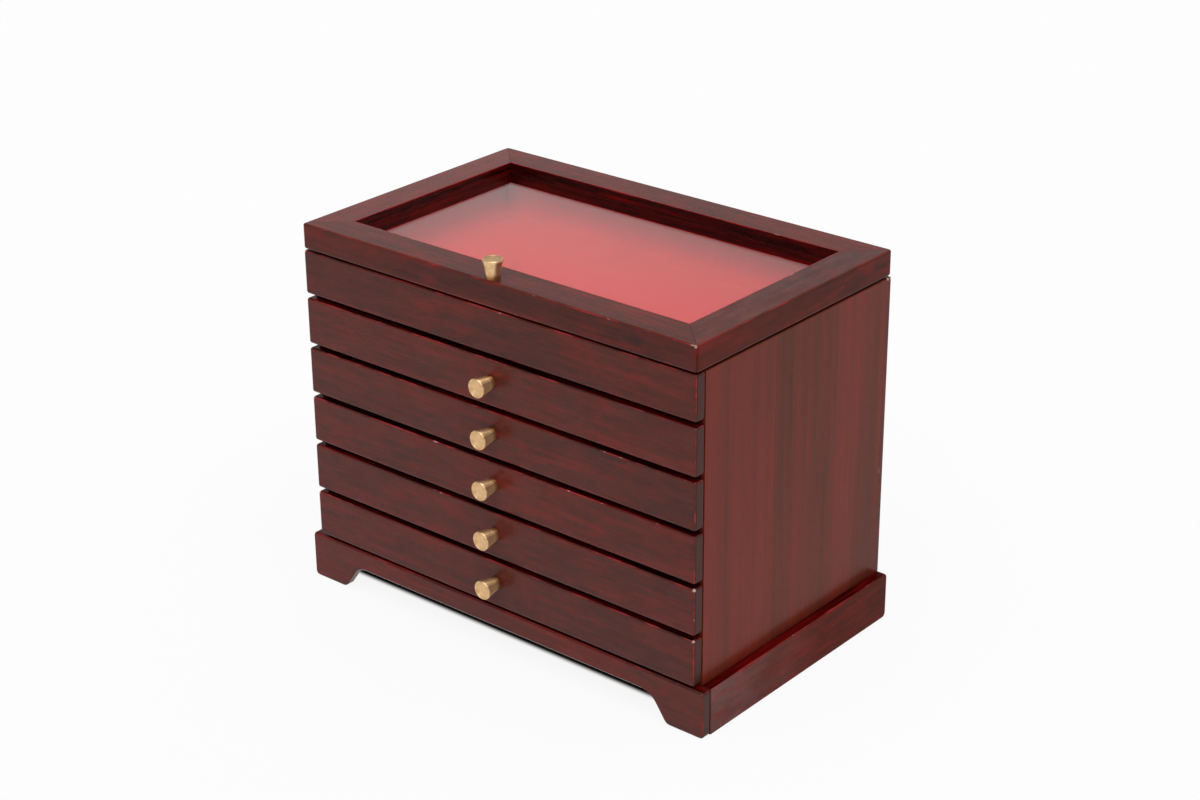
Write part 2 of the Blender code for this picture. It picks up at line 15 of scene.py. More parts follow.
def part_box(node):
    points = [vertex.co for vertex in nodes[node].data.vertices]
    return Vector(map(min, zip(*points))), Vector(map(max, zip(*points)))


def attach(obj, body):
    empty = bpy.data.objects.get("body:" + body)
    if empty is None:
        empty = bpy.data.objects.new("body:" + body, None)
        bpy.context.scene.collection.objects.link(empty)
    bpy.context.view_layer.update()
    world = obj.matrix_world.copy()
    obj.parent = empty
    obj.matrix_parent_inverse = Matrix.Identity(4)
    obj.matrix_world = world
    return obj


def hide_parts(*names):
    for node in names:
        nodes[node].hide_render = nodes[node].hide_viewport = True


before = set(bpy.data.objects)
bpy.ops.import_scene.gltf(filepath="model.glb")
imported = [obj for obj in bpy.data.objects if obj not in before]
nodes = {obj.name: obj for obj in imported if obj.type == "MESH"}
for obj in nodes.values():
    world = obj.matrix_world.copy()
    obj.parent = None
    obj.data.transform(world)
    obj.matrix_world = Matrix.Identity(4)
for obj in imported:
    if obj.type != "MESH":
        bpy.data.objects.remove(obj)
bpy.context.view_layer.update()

MM = 0.001
scene = bpy.context.scene
scene.view_settings.view_transform = "Standard"

# %% [markdown]
# ## Camera
# The view is a product photographer's: a long lens from the right and above, so that the front, one side
# and the lid all show. A camera can be placed by typing its location and rotation, but it is easier to
# think of as an orbit: look at a point, turn round it, climb above it, then back away along the line of
# sight. Multiplying those moves as matrices, in that order, gives the camera's place.

# %% Camera on an orbit round the chest
LOOK_AT = Vector((-0.00247, 0.01267, 0.13099))
TURN_DEG = 40.10
CLIMB_DEG = 24.33
ROLL_DEG = -0.44
DISTANCE = 1.4794
SENSOR_MM = 36.0
LENS_MM = 72.466


def turned_by(degrees, axis):
    return Matrix.Rotation(radians(degrees), 4, axis)


camera = bpy.data.objects.new("camera", bpy.data.cameras.new("camera"))
camera.data.sensor_fit = "HORIZONTAL"
camera.data.sensor_width = SENSOR_MM
camera.data.lens = LENS_MM
orbit = turned_by(TURN_DEG, "Z") @ turned_by(90 - CLIMB_DEG, "X") @ turned_by(ROLL_DEG, "Z")
camera.matrix_world = Matrix.Translation(LOOK_AT) @ orbit @ Matrix.Translation((0, 0, DISTANCE))
scene.collection.objects.link(camera)
scene.camera = camera
print("camera at", [round(v, 3) for v in camera.matrix_world.translation])

# %% [markdown]
# ## Shader maths in Python
# Every finish below is a tree of small nodes. Drawing those by hand is fine for one, but a chest needs one
# per board, so the trees are written as code. The class wraps one output of a node. Plain operators on it
# add Math nodes, so 1 - mask * 0.5 reads as it would on paper, and any other node comes from one method.

# %% A wire that carries a socket
class Wire:
    """One output socket. Arithmetic on it adds Math nodes to the same tree."""

    def __init__(self, tree, socket=None):
        self.tree = tree
        self.socket = socket

    def node(self, kind, settings=None, inputs=None, output=0):
        """Adds a node: its settings first, then a value or a wire for each named socket."""
        made = self.tree.nodes.new(kind)
        for name, value in (settings or {}).items():
            if name == "stops":
                ramp = made.color_ramp.elements
                while len(ramp) < len(value):
                    ramp.new(1.0)
                for element, (position, colour) in zip(ramp, value):
                    element.position = position
                    element.color = (*colour, 1.0)
            else:
                setattr(made, name, value)
        for name, value in (inputs or {}).items():
            if isinstance(value, Wire):
                self.tree.links.new(value.socket, made.inputs[name])
            else:
                made.inputs[name].default_value = value
        return Wire(self.tree, made.outputs[output] if made.outputs else None)

    def math(self, operation, *values):
        return self.node("ShaderNodeMath", {"operation": operation}, dict(enumerate(values)))

    def __add__(self, other):
        return self.math("ADD", self, other)

    def __radd__(self, other):
        return self.math("ADD", other, self)

    def __sub__(self, other):
        return self.math("SUBTRACT", self, other)

    def __rsub__(self, other):
        return self.math("SUBTRACT", other, self)

    def __mul__(self, other):
        return self.math("MULTIPLY", self, other)

    def __rmul__(self, other):
        return self.math("MULTIPLY", other, self)

    def __truediv__(self, other):
        return self.math("DIVIDE", self, other)

    def __abs__(self):
        return self.math("ABSOLUTE", self)

    def least(self, other):
        return self.math("MINIMUM", self, other)

    def most(self, other):
        return self.math("MAXIMUM", self, other)

    def rise(self, low, high):
        """0 below low, 1 above high, and a smooth step between them."""
        ends = {"Value": self, "From Min": low, "From Max": high}
        return self.node("ShaderNodeMapRange", {"interpolation_type": "SMOOTHSTEP"}, ends)

    def parts(self):
        """The three numbers of a vector."""
        split = self.node("ShaderNodeSeparateXYZ", inputs={0: self}).socket.node
        return [Wire(self.tree, socket) for socket in split.outputs]


def blended(share, first, second):
    """A colour between two, each a wire or three numbers."""
    pair = [c if isinstance(c, Wire) else (*c, 1.0) for c in (first, second)]
    return share.node("ShaderNodeMix", {"data_type": "RGBA"}, {0: share, 6: pair[0], 7: pair[1]}, output=2)


def new_finish(name):
    """An empty material and the wire that adds nodes to it."""
    finish = bpy.data.materials.new(name)
    finish.use_nodes = True
    finish.node_tree.nodes.clear()
    return finish, Wire(finish.node_tree)


def surface(wire, shader):
    wire.node("ShaderNodeOutputMaterial", inputs={"Surface": shader})


print("shader maths ready")

# %% [markdown]
# ## Studio
# A white sweep lit softly from above and a little to the front keeps the stain's own colour. A sun lamp
# with a very wide disc works like a big softbox, and the world fills in. What lights the wood and what the
# gloss mirrors need not be the same: to light rays the world is darker towards the front, which shapes the
# drawer fronts, while the camera, mirrors and glass see a white wall under a dimmer ceiling. A ray that has
# left a dull surface counts as light. A small strip light overhead is for gloss alone, and draws the
# highlights on the brass.

# %% World
FILL_LEVEL = 0.26
FILL_FROM_RIGHT = 0.14
FILL_FROM_BACK = 0.30
FILL_FROM_ABOVE = 0.25
FILL_LEAST = 0.05
CEILING_DIMMING = 0.66
CEILING_EDGE = (0.20, 0.45)
world = bpy.data.worlds.new("soft studio")
world.use_nodes = True
world.node_tree.nodes.clear()
scene.world = world


def is_seen(wire):
    """1 for rays from the camera, also by way of a mirror or glass, and 0 for rays of light."""
    share = wire.node("ShaderNodeLightPath", output="Is Camera Ray")
    for kind in ("Is Glossy Ray", "Is Transmission Ray"):
        share = share.most(wire.node("ShaderNodeLightPath", output=kind))
    scattered = wire.node("ShaderNodeLightPath", output="Diffuse Depth")
    return share * (1 - scattered.least(1.0))


sky = Wire(world.node_tree)
to_right, to_back, upward = sky.node("ShaderNodeTexCoord", output="Generated").parts()
fill_light = FILL_LEVEL + FILL_FROM_RIGHT * to_right + FILL_FROM_BACK * to_back + FILL_FROM_ABOVE * upward
fill_light = fill_light.most(FILL_LEAST)
backdrop = 1.0 - CEILING_DIMMING * upward.rise(*CEILING_EDGE)
seen = is_seen(sky)
strength = seen * backdrop + (1 - seen) * fill_light
white = sky.node("ShaderNodeBackground", inputs={"Color": (1, 1, 1, 1), "Strength": strength})
sky.node("ShaderNodeOutputWorld", inputs={"Surface": white})
print("world of", len(world.node_tree.nodes), "nodes")

# %% Key light and strip light
KEY_FROM = Vector((0.20, -0.40, 0.90))
KEY_STRENGTH = 2.15
KEY_DISC_DEG = 78
STRIP_FROM = Vector((0.10, -0.15, 0.98))
STRIP_POWER = 3.5
STRIP_SIZE = 0.35
STRIP_DISTANCE = 1.3


def add_light(name, kind, energy, from_where):
    """A light turned so that it shines from a point towards the origin."""
    light = bpy.data.objects.new(name, bpy.data.lights.new(name, kind))
    light.data.energy = energy
    light.rotation_euler = from_where.to_track_quat("Z", "Y").to_euler()
    scene.collection.objects.link(light)
    return light


key = add_light("key light", "SUN", KEY_STRENGTH, KEY_FROM)
key.data.angle = radians(KEY_DISC_DEG)
strip = add_light("strip light", "AREA", STRIP_POWER, STRIP_FROM)
strip.data.size = STRIP_SIZE
strip.location = STRIP_DISTANCE * STRIP_FROM
strip.visible_diffuse = False
strip.visible_camera = False
strip.visible_transmission = False
print("key light", KEY_STRENGTH, "W/m2, strip light", STRIP_POWER, "W")

# %% [markdown]
# ## Paper floor
# The chest stands on a roll of pale paper, as in a product photographer's studio. More lamps would make the
# paper white in the picture, but they would wash out the stain too. So the paper glows for the rays that
# see it, by way of a mirror or glass too, and for no others. The share of it that doesn't glow still
# carries the chest's shadow. Under the chest there is no glow, and a painted shade turns the paper's colour
# dark there, to keep the deep shade.

# %% Lay the paper
FLOOR_HALF = 6.0
GLOW_SHARE = 0.9
PAPER = (0.82, 0.82, 0.82)
PAPER_IN_SHADE = (0.05, 0.04, 0.034)
SHADE_SIDES = (0.135, 0.157)
SHADE_FRONT = (-0.0725, -0.0675)
SHADE_BACK = (0.085, 0.096)
floor_mesh = bpy.data.meshes.new("floor")
corners = [(x * FLOOR_HALF, y * FLOOR_HALF, 0) for x, y in ((-1, -1), (1, -1), (1, 1), (-1, 1))]
floor_mesh.from_pydata(corners, [], [(0, 1, 2, 3)])
floor = bpy.data.objects.new("floor", floor_mesh)
scene.collection.objects.link(floor)
floor_finish, wire = new_finish("pale paper sweep")
under_x, under_y, _ = wire.node("ShaderNodeTexCoord", output="Object").parts()
# Painted shade: under the chest the paper's colour is painted dark.
painted_shade_beneath = 1 - abs(under_x).rise(*SHADE_SIDES)
painted_shade_beneath = painted_shade_beneath * under_y.rise(*SHADE_FRONT) * (1 - under_y.rise(*SHADE_BACK))
paper_with_painted_shade = blended(painted_shade_beneath, PAPER, PAPER_IN_SHADE)
paper = wire.node("ShaderNodeBsdfDiffuse", inputs={"Color": paper_with_painted_shade})
glow = wire.node("ShaderNodeEmission", inputs={"Color": (1, 1, 1, 1), "Strength": 1.0})
share = is_seen(wire) * (1 - painted_shade_beneath) * GLOW_SHARE
surface(wire, wire.node("ShaderNodeMixShader", inputs={0: share, 1: paper, 2: glow}))
floor_mesh.materials.append(floor_finish)
print("paper floor", 2 * FLOOR_HALF, "m wide")

# %% [markdown]
# ## Stained and lacquered mahogany
# The boards are a pale hardwood under a dark red-brown stain and a thin semi-gloss lacquer. What shows on
# the real wood: soft bands and fine lines along the grain, brushed clouds where the stain took redder,
# faces that had only the red dye, and dark end grain. Light and shade are painted in as well: a pale
# painted sheen in soft patches, added to the colour for the pale room mirrored in the lacquer, and painted
# shade that turns the dye nearly black on faces in gaps and recesses. A picture of wood could be wrapped
# round each board, but it would stretch, repeat and run the wrong way on the ends. Noise stretched along the
# grain in the board's own metres has none of that, so each board gets its own tree with its own grain
# direction and seed.

# %% Noise drawn out along the grain
X, Y, Z = range(3)
SEED_SPREAD = (1.0, 1.7, 2.3)


def streaks(wire, place, grain, seed, along, across, detail, roughness=0.55):
    """Noise with so many features per metre along and across the grain."""
    scale = [across] * 3
    scale[grain] = along
    shift = [seed * spread for spread in SEED_SPREAD]
    stretched = wire.node(
        "ShaderNodeVectorMath", {"operation": "MULTIPLY_ADD"}, {0: place, 1: scale, 2: shift}
    )
    inputs = {"Vector": stretched, "Scale": 1.0, "Detail": detail, "Roughness": roughness}
    return wire.node("ShaderNodeTexNoise", inputs=inputs)


print("each seed moves the noise by its multiples", SEED_SPREAD)

# %% The stain's own pattern
STAIN = [
    (0.25, (0.045, 0.0095, 0.0065)),
    (0.45, (0.085, 0.0125, 0.0070)),
    (0.55, (0.110, 0.0130, 0.0070)),
    (0.78, (0.185, 0.0135, 0.0085)),
]
WARM_STAIN = [
    (0.25, (0.045, 0.0125, 0.0060)),
    (0.45, (0.085, 0.0165, 0.0070)),
    (0.55, (0.110, 0.0180, 0.0075)),
    (0.78, (0.185, 0.0210, 0.0090)),
]
CLOUD_RED = (0.225, 0.0110, 0.0095)
FIGURE = {
    # noise: shift of its seed, features a metre along and across the grain, detail, roughness
    "bands": (0, 3, 38, 2, 0.55),
    "broad": (2, 8, 14, 2, 0.55),
    "lines": (3, 13, 230, 5, 0.65),
    "fibres": (5, 42, 750, 3, 0.6),
    "mottled": (8, 90, 190, 5, 0.7),
    "patches": (9, 34, 78, 5, 0.65),
    "sheen_patches": (11, 40, 120, 5, 0.65),
}


def stain_pattern(wire, place, grain, seed, depth, contrast, clouds, painted_sheen, stain, length):
    """The stained colour, and the noises that other layers reuse. depth is where it lies on the ramp."""
    noises = {}
    for part, (shift, along, across, detail, roughness) in FIGURE.items():
        noises[part] = streaks(wire, place, grain, seed + shift, along / length, across, detail, roughness)
    lines = noises["lines"]
    fibres = noises["fibres"]
    bolder = length**0.5
    slow = (noises["bands"] - 0.5) * (0.22 * bolder) + (noises["broad"] - 0.5) * (0.30 * bolder)
    quick = (lines - 0.5) * 0.34 + (fibres - 0.5) * 0.46 + (noises["mottled"] - 0.5) * 0.30
    depth = depth + (slow + quick) * contrast
    colour = wire.node("ShaderNodeValToRGB", {"stops": stain}, {"Fac": depth})
    cloudy = (noises["patches"] + (lines - 0.5) * 0.4).rise(0.48, 0.72) * clouds
    colour = blended(cloudy, colour, CLOUD_RED)
    # Painted sheen: a pale grey added to the colour, in soft patches, for the pale room mirrored in the
    # lacquer.
    film = {0: 0.3 + 0.4 * noises["sheen_patches"].rise(0.30, 0.72), 6: colour, 7: 2 * painted_sheen}
    colour = wire.node("ShaderNodeMix", {"data_type": "RGBA", "blend_type": "ADD"}, film, output=2)
    return colour, lines, fibres


print("stain of", len(STAIN), "stops drawn with", len(FIGURE), "noises")

# %% [markdown]
# ## Worn arrises
# Hands rub a board's sharp edges, which a joiner calls arrises, until the red shows, and knocks chip its
# corners down to pale wood. Blender's Pointiness finds edges by itself, but it depends on how finely a mesh
# is divided, and these boards have few faces. So the edges are worked out from the board's box: the three
# distances to its sides are sorted, the middle one is how far a point is from its nearest edge, and the
# largest tells how near a corner is.

# %% Worn arrises and chips
WORN_RED = (0.33, 0.026, 0.025)
CHIP = (0.62, 0.44, 0.37)
WORN_LEAST = 0.00045
WORN_MORE = 0.0006
UPRIGHT_WIDER = 1.2
CHIP_LEAST = 0.0004
CHIP_MORE = 0.0018
NICKS_PER_METRE = 46.0


def edge_and_corner(spot, low, high):
    """How far a point is from the nearest edge, corner and upright edge of a box."""
    x, y, z = [abs((v - a).least(b - v)) for v, a, b in zip(spot, low, high)]
    edge = x.least(y).most(x.most(y).least(z))
    upright = x.most(y)
    return edge, upright.most(z), upright


def worn_edges(wire, place, spot, grain, seed, low, high, wear):
    """How worn and how chipped a point is, each from 0 to 1. Upper and upright arrises wear most."""
    edge, corner, upright = edge_and_corner(spot, low, high)
    rubbed = streaks(wire, place, grain, seed + 13, 45, 80, 4)
    upper = spot[Z].rise((low[Z] + high[Z]) / 2, high[Z])
    width = WORN_LEAST + WORN_MORE * rubbed.rise(0.42, 0.68)
    worn = (1 - (edge / width).rise(0.55, 1.0)) * (0.45 + 0.55 * upper) * wear
    handled = 1 - (upright / (UPRIGHT_WIDER * width)).rise(0.5, 1.0)
    worn = worn.most(handled * wear)
    flakes = worn * streaks(wire, place, grain, seed + 17, 160, 260, 3).rise(0.64, 0.70)
    reach = CHIP_LEAST + CHIP_MORE * rubbed.rise(0.41, 0.58)
    chipped = (1 - (corner / reach).rise(0.5, 0.9)) * upper
    cells = {"Vector": place, "Scale": NICKS_PER_METRE}
    nicks = wire.node("ShaderNodeTexVoronoi", inputs=cells, output="Distance")
    chipped = chipped.most((1 - nicks.rise(0.008, 0.018)) * 0.6).most(flakes)
    return worn, chipped


print("arrises wear over", round(WORN_LEAST / MM, 2), "mm or more")

# %% [markdown]
# ## The whole board
# On the bench the layers go on in order: stain, dye, lacquer, and then years of wear. The shader mixes them
# in much the same order, each over the last, with masks that say where a layer shows. One function with a
# choice for each layer makes every board, because the boards differ in their choices and not in how they
# are made.

# %% The lacquered board
END_GRAIN = (0.046, 0.0085, 0.0045)
DYE_PAINTED_SHADE = (0.012, 0.0006, 0.0005)
DYE_RED = (0.140, 0.0030, 0.0024)
BARE_DARK = (0.34, 0.165, 0.098)
BARE_PALE = (0.52, 0.285, 0.175)
LACQUER_IOR = 1.24
SEAM_HALF = 0.0002
STAVE_SHIFT = 0.37
STAVE_STEP = 0.03
BUMP_DEPTH = 0.00006


def lacquered(
    name,
    seed,
    low,
    high,
    grain,
    depth,
    drift=0.0,
    contrast=1.3,
    clouds=0.35,
    painted_sheen=0.004,
    sheen_thinning=0.0,
    wear=1.0,
    ior=LACQUER_IOR,
    stain=STAIN,
    length=1.0,
    dyed_and_shaded=(),
    painted_shade_faces=(),
    painted_sheen_faces=(),
    seam=None,
    raw=None,
):
    """Stained mahogany.

    low and high are the corners of the box whose arrises wear. depth is the stain's place on the ramp,
    drift is how much it changes in a metre along the grain, and length draws the figure out. painted_sheen
    is how bright a pale sheen is painted into the colour for the pale room mirrored in the lacquer, and
    sheen_thinning is how much of it is lost in a metre along the grain. Faces are given as (axis, sign):
    dyed_and_shaded lists those with only red dye, darkened by painted shade, painted_shade_faces those whose
    stain is moved on the ramp as painted shade and by how much, painted_sheen_faces those with more painted
    sheen and how much, and raw is the one with no stain. seam is where along Y two staves are glued.
    """
    finish, wire = new_finish(name)
    place = wire.node("ShaderNodeTexCoord", output="Object")
    facing = wire.node("ShaderNodeTexCoord", output="Normal").parts()
    spot = place.parts()

    def on_face(axis, sign):
        return (sign * facing[axis]).rise(0.55, 0.9)

    depth = depth + drift * spot[grain]
    # Painted sheen: its brightness, thinning along the grain, and more of it on the faces listed.
    painted_sheen = (painted_sheen - sheen_thinning * spot[grain]).most(0.0)
    for axis, sign, amount in painted_sheen_faces:
        painted_sheen = painted_sheen + on_face(axis, sign) * amount
    # Painted shade: the stain on the faces listed is moved darker on the ramp.
    for axis, sign, amount in painted_shade_faces:
        depth = depth + on_face(axis, sign) * amount
    if seam is not None:
        stave = spot[Y].rise(seam - SEAM_HALF, seam + SEAM_HALF)
        moved = wire.node("ShaderNodeCombineXYZ", inputs={"Y": stave * STAVE_SHIFT})
        place = wire.node("ShaderNodeVectorMath", {"operation": "ADD"}, {0: place, 1: moved})
        depth = depth + STAVE_STEP - 2 * STAVE_STEP * stave

    colour, lines, fibres = stain_pattern(
        wire, place, grain, seed, depth, contrast, clouds, painted_sheen, stain, length
    )
    pores = streaks(wire, place, grain, seed + 7, 120, 2600, 1).rise(0.60, 0.72)
    colour = blended(pores * 0.5, colour, STAIN[0][1])
    on_end = abs(facing[grain]).rise(0.75, 0.95)
    colour = blended(on_end * 0.9, colour, END_GRAIN)
    # Painted shade: faces in gaps and recesses keep only the red dye, and painted shade turns most of it
    # nearly black.
    dye_and_shade = blended((lines * 0.7 + fibres * 0.3).rise(0.40, 0.70), DYE_PAINTED_SHADE, DYE_RED)
    for axis, sign in dyed_and_shaded:
        colour = blended(on_face(axis, sign), colour, dye_and_shade)

    rough = 0.25 + 0.10 * pores + 0.15 * on_end
    if wear:
        worn, chipped = worn_edges(wire, place, spot, grain, seed, low, high, wear)
        colour = blended(worn, colour, WORN_RED)
        colour = blended(chipped * 0.8, colour, CHIP)
        rough = rough + 0.30 * worn
    if raw:
        bare = on_face(*raw)
        pale = blended((lines * 0.6 + fibres * 0.4).rise(0.35, 0.65), BARE_DARK, BARE_PALE)
        colour = blended(bare, colour, pale)
        rough = rough + bare * 0.3

    peel = wire.node("ShaderNodeTexNoise", inputs={"Vector": place, "Scale": 260.0, "Detail": 1.0})
    height = fibres * 0.5 + peel * 0.35 - pores * 0.9
    bump = wire.node("ShaderNodeBump", inputs={"Strength": 0.3, "Distance": BUMP_DEPTH, "Height": height})
    inputs = {"Base Color": colour, "Roughness": rough, "IOR": ior, "Normal": bump}
    surface(wire, wire.node("ShaderNodeBsdfPrincipled", inputs=inputs))
    return finish


def dress(node, finish):
    """Gives a solid its finish."""
    nodes[node].data.materials.clear()
    nodes[node].data.materials.append(finish)


print("lacquer ready")

# %% [markdown]
# ## Which way each board runs
# Boards are cut with the grain along their length, so drawer fronts run left to right, case sides run up
# and down, and plinth sides run front to back. Each board is stained by hand and comes out a little redder
# or darker than its neighbour, so each row gives its own depth of stain. An arris only wears where a hand
# can reach it. Where a board meets another one, its box is drawn out on that side, so that the hidden edge
# is never near.

# %% Finish the case and the drawer fronts
FAR = 0.05
CASE_SEED_STEP = 11.3
# The fronts' narrow top and bottom faces lie in the gaps: their red dye is darkened by painted shade.
SHADED_NARROW_FACES = ((Z, 1), (Z, -1))
# Each board's pale sheen below is painted into its colour, for the pale room mirrored in the lacquer.
FRONT = {"grain": X, "painted_sheen": 0.0075, "dyed_and_shaded": SHADED_NARROW_FACES, "ior": 1.27}
PLINTH_SIDE = {
    "grain": Y,
    "depth": 0.53,
    "drift": -0.2,
    "painted_sheen": 0.012,
    # The painted sheen thins towards the back of the plinth sides.
    "sheen_thinning": 0.45,
    "wear": 0.7,
    # The plinth sides' top ledge lies under the case: its red dye is darkened by painted shade.
    "dyed_and_shaded": ((Z, 1),),
    "ior": 1.10,
}
CASE_SIDE = {
    "grain": Z,
    "depth": 0.65,
    "contrast": 0.9,
    "clouds": 0.2,
    "wear": 0,
    "stain": WARM_STAIN,
    "ior": 1.20,
    "length": 5.0,
}
CASE_BOARDS = [
    # board, sides where it meets another board, finish
    ("tray_front_board", [(Y, 1)], {**FRONT, "painted_sheen": 0.005, "depth": 0.46, "raw": (Y, 1)}),
    ("drawer_1_front", [(Y, 1)], {**FRONT, "depth": 0.495, "clouds": 0.4}),
    ("drawer_2_front", [(Y, 1)], {**FRONT, "depth": 0.485}),
    ("drawer_3_front", [(Y, 1)], {**FRONT, "depth": 0.505, "clouds": 0.4}),
    ("drawer_4_front", [(Y, 1)], {**FRONT, "depth": 0.51, "drift": -0.35}),
    ("drawer_5_front", [(Y, 1)], {**FRONT, "depth": 0.485, "clouds": 0.3}),
    ("plinth_front", [(Y, 1)], {**FRONT, "depth": 0.54, "drift": -0.5, "wear": 0.7}),
    ("plinth_side_left", [(Y, -1), (X, 1)], PLINTH_SIDE),
    ("plinth_side_right", [(Y, -1), (X, -1)], PLINTH_SIDE),
    ("case_side_left", [], {**CASE_SIDE, "raw": (X, 1)}),
    ("case_side_right", [], {**CASE_SIDE, "raw": (X, -1), "seam": -0.0165}),
    ("case_back_panel", [], {"grain": Z, "depth": 0.44, "clouds": 0.3, "wear": 0.3, "raw": (Y, -1)}),
]
for number, (board, meets, choices) in enumerate(CASE_BOARDS):
    box = [Vector(corner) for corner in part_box(board)]
    for axis, sign in meets:
        box[sign > 0][axis] += sign * FAR
    dress(board, lacquered(f"mahogany {board}", CASE_SEED_STEP * number, *box, **choices))
print(len(CASE_BOARDS), "boards lacquered")

# %% [markdown]
# ## The lid's frame
# The lid's four rails are mitred into one frame. For them the edges that wear are those of the whole frame
# and of its opening, so the box for each rail is the lid's outside on three sides and the opening on the
# fourth. The rail's wall inside the opening has only the red dye, darkened by painted shade, like the tops
# of the drawer fronts. The front rail's front face gets painted shade too, and the right rail's top more
# painted sheen.

# %% Finish the lid's frame and its beads
RAIL_SEED = 151
BEAD_SEED = 211
LID_SEED_STEP = 9
BEAD_STAIN = 0.48
LID_RAILS = {
    "front": {
        "grain": X,
        "depth": 0.51,
        "drift": -0.12,
        "ior": 1.24,
        "dyed_and_shaded": [(Y, 1), (Z, -1)],
        # The front face is painted darker than the top: painted shade.
        "painted_shade_faces": [(Y, -1, -0.07)],
    },
    "back": {"grain": X, "depth": 0.53, "ior": 1.21, "dyed_and_shaded": [(Y, -1), (Z, -1)]},
    "left": {"grain": Y, "depth": 0.63, "ior": 1.27, "dyed_and_shaded": [(X, 1), (Z, -1)]},
    "right": {
        "grain": Y,
        "depth": 0.41,
        "painted_sheen": 0.001,
        "ior": 1.15,
        "dyed_and_shaded": [(X, -1), (Z, -1)],
        # More painted sheen on the top face.
        "painted_sheen_faces": [(Z, 1, 0.026)],
    },
}
rail_boxes = [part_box(f"lid_rail_{side}") for side in LID_RAILS]
lid_low = Vector([min(low[axis] for low, _ in rail_boxes) for axis in range(3)])
lid_high = Vector([max(high[axis] for _, high in rail_boxes) for axis in range(3)])
for number, (side, choices) in enumerate(LID_RAILS.items()):
    box = [lid_low.copy(), lid_high.copy()]
    axis, sign = choices["dyed_and_shaded"][0]
    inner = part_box(f"lid_rail_{side}")[sign > 0][axis]
    box[sign > 0][axis] = inner
    choices = {"clouds": 0.4, "wear": 0.8, **choices}
    seed = RAIL_SEED + LID_SEED_STEP * number
    dress(f"lid_rail_{side}", lacquered(f"mahogany lid {side}", seed, *box, **choices))
    bead = f"glazing_bead_{side}"
    look = {"grain": choices["grain"], "depth": BEAD_STAIN, "wear": 0, "dyed_and_shaded": choices["dyed_and_shaded"]}
    seed = BEAD_SEED + LID_SEED_STEP * number
    dress(bead, lacquered(f"mahogany bead {side}", seed, *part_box(bead), **look))
print("lid frame", [round(v / MM, 1) for v in lid_high - lid_low], "mm")

# %% [markdown]
# ## Plain wood inside
# The drawer boxes, the case bottom and the tray floor are never seen with the drawers shut, so the maker
# gives them a thin brown stain and no lacquer. They are matt and paler, and the grain is easy to see.
# It is the same stretched noise with two colours and a rougher surface.

# %% Finish the drawer boxes
BARE_PORE = (0.10, 0.045, 0.026)
PLAIN_SEED = 300
PLAIN_SEED_STEP = 7.7
PORE_DEPTH = 0.0001
DRAWERS = range(1, 6)


def plain_wood(name, grain, seed):
    finish, wire = new_finish(name)
    place = wire.node("ShaderNodeTexCoord", output="Object")
    bands = streaks(wire, place, grain, seed, 3, 45, 2)
    lines = streaks(wire, place, grain, seed + 3, 9, 260, 4)
    pores = streaks(wire, place, grain, seed + 7, 110, 2200, 1).rise(0.60, 0.72)
    colour = blended((bands * 0.5 + lines * 0.5).rise(0.36, 0.64), BARE_DARK, BARE_PALE)
    colour = blended(pores * 0.5, colour, BARE_PORE)
    height = lines * 0.6 - pores
    bump = wire.node("ShaderNodeBump", inputs={"Strength": 0.5, "Distance": PORE_DEPTH, "Height": height})
    rough = 0.50 + 0.2 * bands
    inputs = {"Base Color": colour, "Roughness": rough, "IOR": LACQUER_IOR, "Normal": bump}
    surface(wire, wire.node("ShaderNodeBsdfPrincipled", inputs=inputs))
    return finish


plain_boards = [("case_bottom_panel", X), ("tray_floor_panel", X), ("tray_back_board", X)]
for number in DRAWERS:
    plain_boards += [(f"drawer_{number}_{part}", X) for part in ("back", "bottom")]
    plain_boards += [(f"drawer_{number}_side_{part}", Y) for part in ("left", "right")]
for number, (board, grain) in enumerate(plain_boards):
    dress(board, plain_wood(f"plain wood {board}", grain, PLAIN_SEED + PLAIN_SEED_STEP * number))
print(len(plain_boards), "plain boards")

# %% [markdown]
# ## Brass
# Knobs and hinges are solid brass, polished once and gone satin. Metal has no colour under its gloss, so
# the look is the base colour of the mirror and how blurred it is. A lathe leaves rings on a knob that are
# finer than a pixel. Bumps that fine only flicker in a render, so the shader's anisotropy stands for them:
# it blurs the mirror across the rings more than along them, which draws a bright line down the neck and a
# fan on the face. The lid's knob is handled most, and its rings are half worn away. Fingers leave a browner
# film, which is noise on the colour and the blur. At the root of the neck, where no cloth gets to it, the
# colour is darkened for tarnish and for painted shade where the neck meets the wood.

# %% Brass finish
BRASS = (0.80, 0.525, 0.285)
BRASS_FILM = (0.67, 0.42, 0.20)
TARNISH_AND_SHADE = (0.27, 0.10, 0.032)
TARNISH_AND_SHADE_REACH = (0.0006, 0.0040)
QUARTER_TURN = 0.25
SCRATCH_DEPTH = 0.000003


